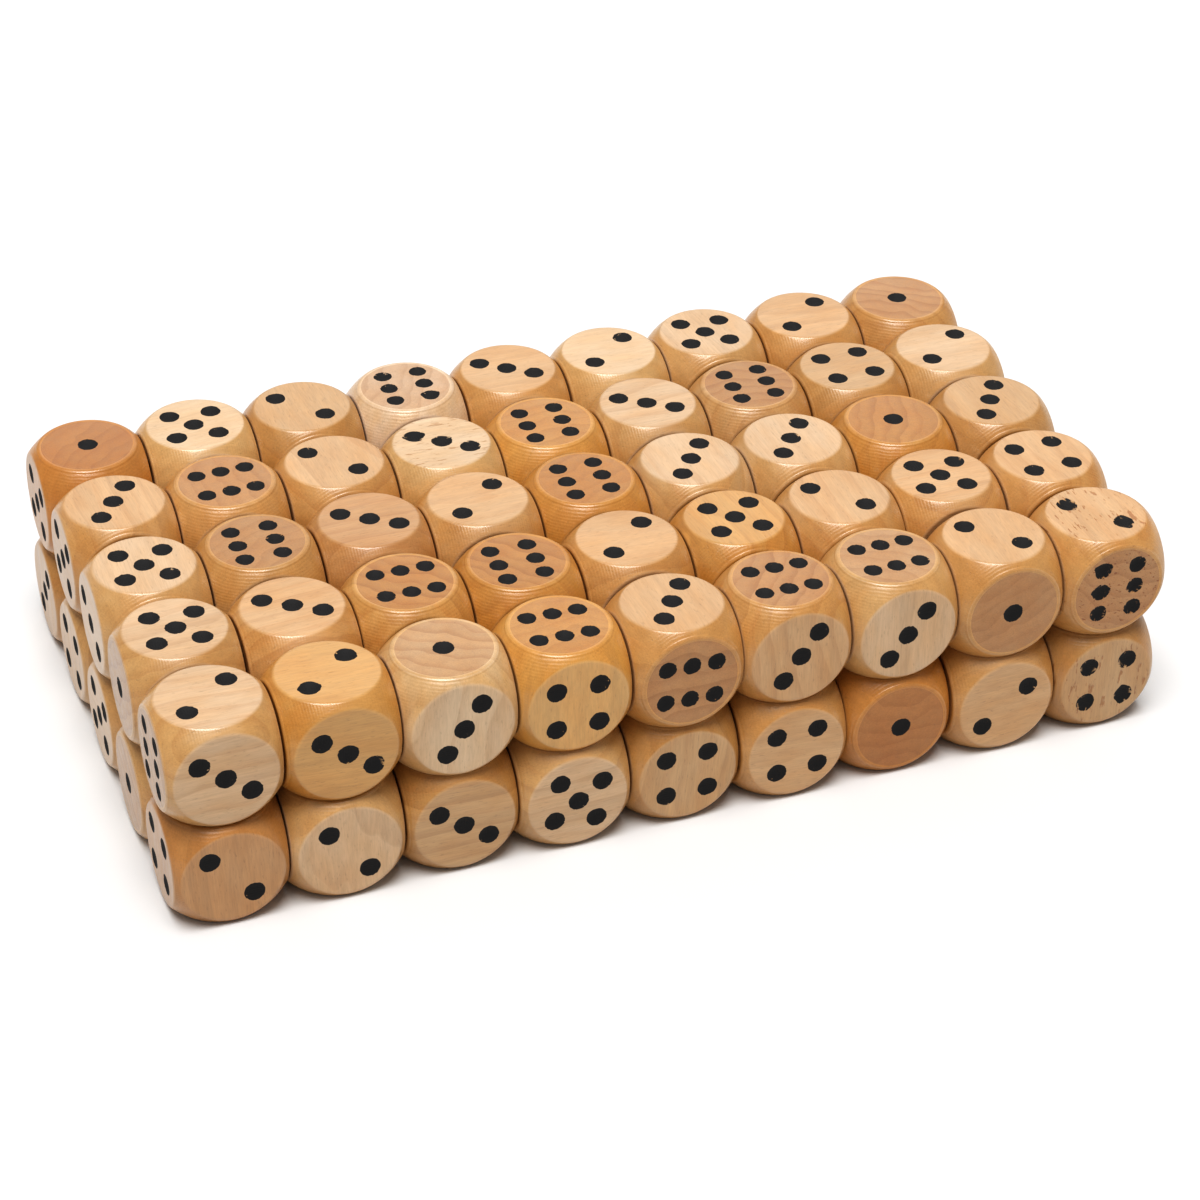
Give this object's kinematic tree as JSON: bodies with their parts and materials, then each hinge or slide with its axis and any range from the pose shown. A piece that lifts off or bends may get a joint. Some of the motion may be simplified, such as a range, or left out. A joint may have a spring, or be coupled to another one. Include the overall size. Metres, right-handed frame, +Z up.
{
  "type": "block of wooden dice",
  "caption": "Wooden dice with rounded corners and black painted pips, laid by hand in rows and layers as one block.",
  "frame": {"origin": "on the surface that the block stands on, under the middle of the block", "axes": "+X along the rows from left to right, +Y from the front row to the back row, +Z up"},
  "size_m": [0.274, 0.1554, 0.06],
  "materials": {
    "varnished_wood": "clear satin varnish on a pale hardwood, with the pips' dishes painted gloss black"
  },
  "bodies": {
    "core": {"bottom_core_left": "varnished_wood", "bottom_core_right": "varnished_wood"},
    "bottom_die_a1": {"bottom_die_a1": "varnished_wood"},
    "bottom_die_a2": {"bottom_die_a2": "varnished_wood"},
    "bottom_die_a3": {"bottom_die_a3": "varnished_wood"},
    "bottom_die_a4": {"bottom_die_a4": "varnished_wood"},
    "bottom_die_a5": {"bottom_die_a5": "varnished_wood"},
    "bottom_die_a6": {"bottom_die_a6": "varnished_wood"},
    "bottom_die_a7": {"bottom_die_a7": "varnished_wood"},
    "bottom_die_a8": {"bottom_die_a8": "varnished_wood"},
    "bottom_die_a9": {"bottom_die_a9": "varnished_wood"},
    "bottom_die_b1": {"bottom_die_b1": "varnished_wood"},
    "bottom_die_c1": {"bottom_die_c1": "varnished_wood"},
    "bottom_die_d1": {"bottom_die_d1": "varnished_wood"},
    "bottom_die_e1": {"bottom_die_e1": "varnished_wood"},
    "top_die_a1": {"top_die_a1": "varnished_wood"},
    "top_die_a2": {"top_die_a2": "varnished_wood"},
    "top_die_a3": {"top_die_a3": "varnished_wood"},
    "top_die_a4": {"top_die_a4": "varnished_wood"},
    "top_die_a5": {"top_die_a5": "varnished_wood"},
    "top_die_a6": {"top_die_a6": "varnished_wood"},
    "top_die_a7": {"top_die_a7": "varnished_wood"},
    "top_die_a8": {"top_die_a8": "varnished_wood"},
    "top_die_a9": {"top_die_a9": "varnished_wood"},
    "top_die_b1": {"top_die_b1": "varnished_wood"},
    "top_die_b2": {"top_die_b2": "varnished_wood"},
    "top_die_b3": {"top_die_b3": "varnished_wood"},
    "top_die_b4": {"top_die_b4": "varnished_wood"},
    "top_die_b5": {"top_die_b5": "varnished_wood"},
    "top_die_b6": {"top_die_b6": "varnished_wood"},
    "top_die_b7": {"top_die_b7": "varnished_wood"},
    "top_die_b8": {"top_die_b8": "varnished_wood"},
    "top_die_b9": {"top_die_b9": "varnished_wood"},
    "top_die_c1": {"top_die_c1": "varnished_wood"},
    "top_die_c2": {"top_die_c2": "varnished_wood"},
    "top_die_c3": {"top_die_c3": "varnished_wood"},
    "top_die_c4": {"top_die_c4": "varnished_wood"},
    "top_die_c5": {"top_die_c5": "varnished_wood"},
    "top_die_c6": {"top_die_c6": "varnished_wood"},
    "top_die_c7": {"top_die_c7": "varnished_wood"},
    "top_die_c8": {"top_die_c8": "varnished_wood"},
    "top_die_c9": {"top_die_c9": "varnished_wood"},
    "top_die_d1": {"top_die_d1": "varnished_wood"},
    "top_die_d2": {"top_die_d2": "varnished_wood"},
    "top_die_d3": {"top_die_d3": "varnished_wood"},
    "top_die_d4": {"top_die_d4": "varnished_wood"},
    "top_die_d5": {"top_die_d5": "varnished_wood"},
    "top_die_d6": {"top_die_d6": "varnished_wood"},
    "top_die_d7": {"top_die_d7": "varnished_wood"},
    "top_die_d8": {"top_die_d8": "varnished_wood"},
    "top_die_d9": {"top_die_d9": "varnished_wood"},
    "top_die_e1": {"top_die_e1": "varnished_wood"},
    "top_die_e2": {"top_die_e2": "varnished_wood"},
    "top_die_e3": {"top_die_e3": "varnished_wood"},
    "top_die_e4": {"top_die_e4": "varnished_wood"},
    "top_die_e5": {"top_die_e5": "varnished_wood"},
    "top_die_e6": {"top_die_e6": "varnished_wood"},
    "top_die_e7": {"top_die_e7": "varnished_wood"},
    "top_die_e8": {"top_die_e8": "varnished_wood"},
    "top_die_e9": {"top_die_e9": "varnished_wood"}
  },
  "joints": [
    {"name": "bottom_die_a1_pull", "type": "slide", "parent": "core", "child": "bottom_die_a1", "axis": [0, -1, 0], "range_m": [0, 0.036]},
    {"name": "bottom_die_a2_pull", "type": "slide", "parent": "core", "child": "bottom_die_a2", "axis": [0, -1, 0], "range_m": [0, 0.036]},
    {"name": "bottom_die_a3_pull", "type": "slide", "parent": "core", "child": "bottom_die_a3", "axis": [0, -1, 0], "range_m": [0, 0.036]},
    {"name": "bottom_die_a4_pull", "type": "slide", "parent": "core", "child": "bottom_die_a4", "axis": [0, -1, 0], "range_m": [0, 0.036]},
    {"name": "bottom_die_a5_pull", "type": "slide", "parent": "core", "child": "bottom_die_a5", "axis": [0, -1, 0], "range_m": [0, 0.036]},
    {"name": "bottom_die_a6_pull", "type": "slide", "parent": "core", "child": "bottom_die_a6", "axis": [0, -1, 0], "range_m": [0, 0.036]},
    {"name": "bottom_die_a7_pull", "type": "slide", "parent": "core", "child": "bottom_die_a7", "axis": [0, -1, 0], "range_m": [0, 0.036]},
    {"name": "bottom_die_a8_pull", "type": "slide", "parent": "core", "child": "bottom_die_a8", "axis": [0, -1, 0], "range_m": [0, 0.036]},
    {"name": "bottom_die_a9_pull", "type": "slide", "parent": "core", "child": "bottom_die_a9", "axis": [0, -1, 0], "range_m": [0, 0.036]},
    {"name": "bottom_die_b1_pull", "type": "slide", "parent": "core", "child": "bottom_die_b1", "axis": [-1, 0, 0], "range_m": [0, 0.036]},
    {"name": "bottom_die_c1_pull", "type": "slide", "parent": "core", "child": "bottom_die_c1", "axis": [-1, 0, 0], "range_m": [0, 0.036]},
    {"name": "bottom_die_d1_pull", "type": "slide", "parent": "core", "child": "bottom_die_d1", "axis": [-1, 0, 0], "range_m": [0, 0.036]},
    {"name": "bottom_die_e1_pull", "type": "slide", "parent": "core", "child": "bottom_die_e1", "axis": [-1, 0, 0], "range_m": [0, 0.036]},
    {"name": "top_die_a1_lift", "type": "slide", "parent": "bottom_die_a1", "child": "top_die_a1", "axis": [0, 0, 1], "range_m": [0, 0.036]},
    {"name": "top_die_a2_lift", "type": "slide", "parent": "bottom_die_a2", "child": "top_die_a2", "axis": [0, 0, 1], "range_m": [0, 0.036]},
    {"name": "top_die_a3_lift", "type": "slide", "parent": "bottom_die_a3", "child": "top_die_a3", "axis": [0, 0, 1], "range_m": [0, 0.036]},
    {"name": "top_die_a4_lift", "type": "slide", "parent": "bottom_die_a4", "child": "top_die_a4", "axis": [0, 0, 1], "range_m": [0, 0.036]},
    {"name": "top_die_a5_lift", "type": "slide", "parent": "bottom_die_a5", "child": "top_die_a5", "axis": [0, 0, 1], "range_m": [0, 0.036]},
    {"name": "top_die_a6_lift", "type": "slide", "parent": "bottom_die_a6", "child": "top_die_a6", "axis": [0, 0, 1], "range_m": [0, 0.036]},
    {"name": "top_die_a7_lift", "type": "slide", "parent": "bottom_die_a7", "child": "top_die_a7", "axis": [0, 0, 1], "range_m": [0, 0.036]},
    {"name": "top_die_a8_lift", "type": "slide", "parent": "bottom_die_a8", "child": "top_die_a8", "axis": [0, 0, 1], "range_m": [0, 0.036]},
    {"name": "top_die_a9_lift", "type": "slide", "parent": "bottom_die_a9", "child": "top_die_a9", "axis": [0, 0, 1], "range_m": [0, 0.036]},
    {"name": "top_die_b1_lift", "type": "slide", "parent": "bottom_die_b1", "child": "top_die_b1", "axis": [0, 0, 1], "range_m": [0, 0.036]},
    {"name": "top_die_b2_lift", "type": "slide", "parent": "core", "child": "top_die_b2", "axis": [0, 0, 1], "range_m": [0, 0.036]},
    {"name": "top_die_b3_lift", "type": "slide", "parent": "core", "child": "top_die_b3", "axis": [0, 0, 1], "range_m": [0, 0.036]},
    {"name": "top_die_b4_lift", "type": "slide", "parent": "core", "child": "top_die_b4", "axis": [0, 0, 1], "range_m": [0, 0.036]},
    {"name": "top_die_b5_lift", "type": "slide", "parent": "core", "child": "top_die_b5", "axis": [0, 0, 1], "range_m": [0, 0.036]},
    {"name": "top_die_b6_lift", "type": "slide", "parent": "core", "child": "top_die_b6", "axis": [0, 0, 1], "range_m": [0, 0.036]},
    {"name": "top_die_b7_lift", "type": "slide", "parent": "core", "child": "top_die_b7", "axis": [0, 0, 1], "range_m": [0, 0.036]},
    {"name": "top_die_b8_lift", "type": "slide", "parent": "core", "child": "top_die_b8", "axis": [0, 0, 1], "range_m": [0, 0.036]},
    {"name": "top_die_b9_lift", "type": "slide", "parent": "core", "child": "top_die_b9", "axis": [0, 0, 1], "range_m": [0, 0.036]},
    {"name": "top_die_c1_lift", "type": "slide", "parent": "bottom_die_c1", "child": "top_die_c1", "axis": [0, 0, 1], "range_m": [0, 0.036]},
    {"name": "top_die_c2_lift", "type": "slide", "parent": "core", "child": "top_die_c2", "axis": [0, 0, 1], "range_m": [0, 0.036]},
    {"name": "top_die_c3_lift", "type": "slide", "parent": "core", "child": "top_die_c3", "axis": [0, 0, 1], "range_m": [0, 0.036]},
    {"name": "top_die_c4_lift", "type": "slide", "parent": "core", "child": "top_die_c4", "axis": [0, 0, 1], "range_m": [0, 0.036]},
    {"name": "top_die_c5_lift", "type": "slide", "parent": "core", "child": "top_die_c5", "axis": [0, 0, 1], "range_m": [0, 0.036]},
    {"name": "top_die_c6_lift", "type": "slide", "parent": "core", "child": "top_die_c6", "axis": [0, 0, 1], "range_m": [0, 0.036]},
    {"name": "top_die_c7_lift", "type": "slide", "parent": "core", "child": "top_die_c7", "axis": [0, 0, 1], "range_m": [0, 0.036]},
    {"name": "top_die_c8_lift", "type": "slide", "parent": "core", "child": "top_die_c8", "axis": [0, 0, 1], "range_m": [0, 0.036]},
    {"name": "top_die_c9_lift", "type": "slide", "parent": "core", "child": "top_die_c9", "axis": [0, 0, 1], "range_m": [0, 0.036]},
    {"name": "top_die_d1_lift", "type": "slide", "parent": "bottom_die_d1", "child": "top_die_d1", "axis": [0, 0, 1], "range_m": [0, 0.036]},
    {"name": "top_die_d2_lift", "type": "slide", "parent": "core", "child": "top_die_d2", "axis": [0, 0, 1], "range_m": [0, 0.036]},
    {"name": "top_die_d3_lift", "type": "slide", "parent": "core", "child": "top_die_d3", "axis": [0, 0, 1], "range_m": [0, 0.036]},
    {"name": "top_die_d4_lift", "type": "slide", "parent": "core", "child": "top_die_d4", "axis": [0, 0, 1], "range_m": [0, 0.036]},
    {"name": "top_die_d5_lift", "type": "slide", "parent": "core", "child": "top_die_d5", "axis": [0, 0, 1], "range_m": [0, 0.036]},
    {"name": "top_die_d6_lift", "type": "slide", "parent": "core", "child": "top_die_d6", "axis": [0, 0, 1], "range_m": [0, 0.036]},
    {"name": "top_die_d7_lift", "type": "slide", "parent": "core", "child": "top_die_d7", "axis": [0, 0, 1], "range_m": [0, 0.036]},
    {"name": "top_die_d8_lift", "type": "slide", "parent": "core", "child": "top_die_d8", "axis": [0, 0, 1], "range_m": [0, 0.036]},
    {"name": "top_die_d9_lift", "type": "slide", "parent": "core", "child": "top_die_d9", "axis": [0, 0, 1], "range_m": [0, 0.036]},
    {"name": "top_die_e1_lift", "type": "slide", "parent": "bottom_die_e1", "child": "top_die_e1", "axis": [0, 0, 1], "range_m": [0, 0.036]},
    {"name": "top_die_e2_lift", "type": "slide", "parent": "core", "child": "top_die_e2", "axis": [0, 0, 1], "range_m": [0, 0.036]},
    {"name": "top_die_e3_lift", "type": "slide", "parent": "core", "child": "top_die_e3", "axis": [0, 0, 1], "range_m": [0, 0.036]},
    {"name": "top_die_e4_lift", "type": "slide", "parent": "core", "child": "top_die_e4", "axis": [0, 0, 1], "range_m": [0, 0.036]},
    {"name": "top_die_e5_lift", "type": "slide", "parent": "core", "child": "top_die_e5", "axis": [0, 0, 1], "range_m": [0, 0.036]},
    {"name": "top_die_e6_lift", "type": "slide", "parent": "core", "child": "top_die_e6", "axis": [0, 0, 1], "range_m": [0, 0.036]},
    {"name": "top_die_e7_lift", "type": "slide", "parent": "core", "child": "top_die_e7", "axis": [0, 0, 1], "range_m": [0, 0.036]},
    {"name": "top_die_e8_lift", "type": "slide", "parent": "core", "child": "top_die_e8", "axis": [0, 0, 1], "range_m": [0, 0.036]},
    {"name": "top_die_e9_lift", "type": "slide", "parent": "core", "child": "top_die_e9", "axis": [0, 0, 1], "range_m": [0, 0.036]}
  ]
}
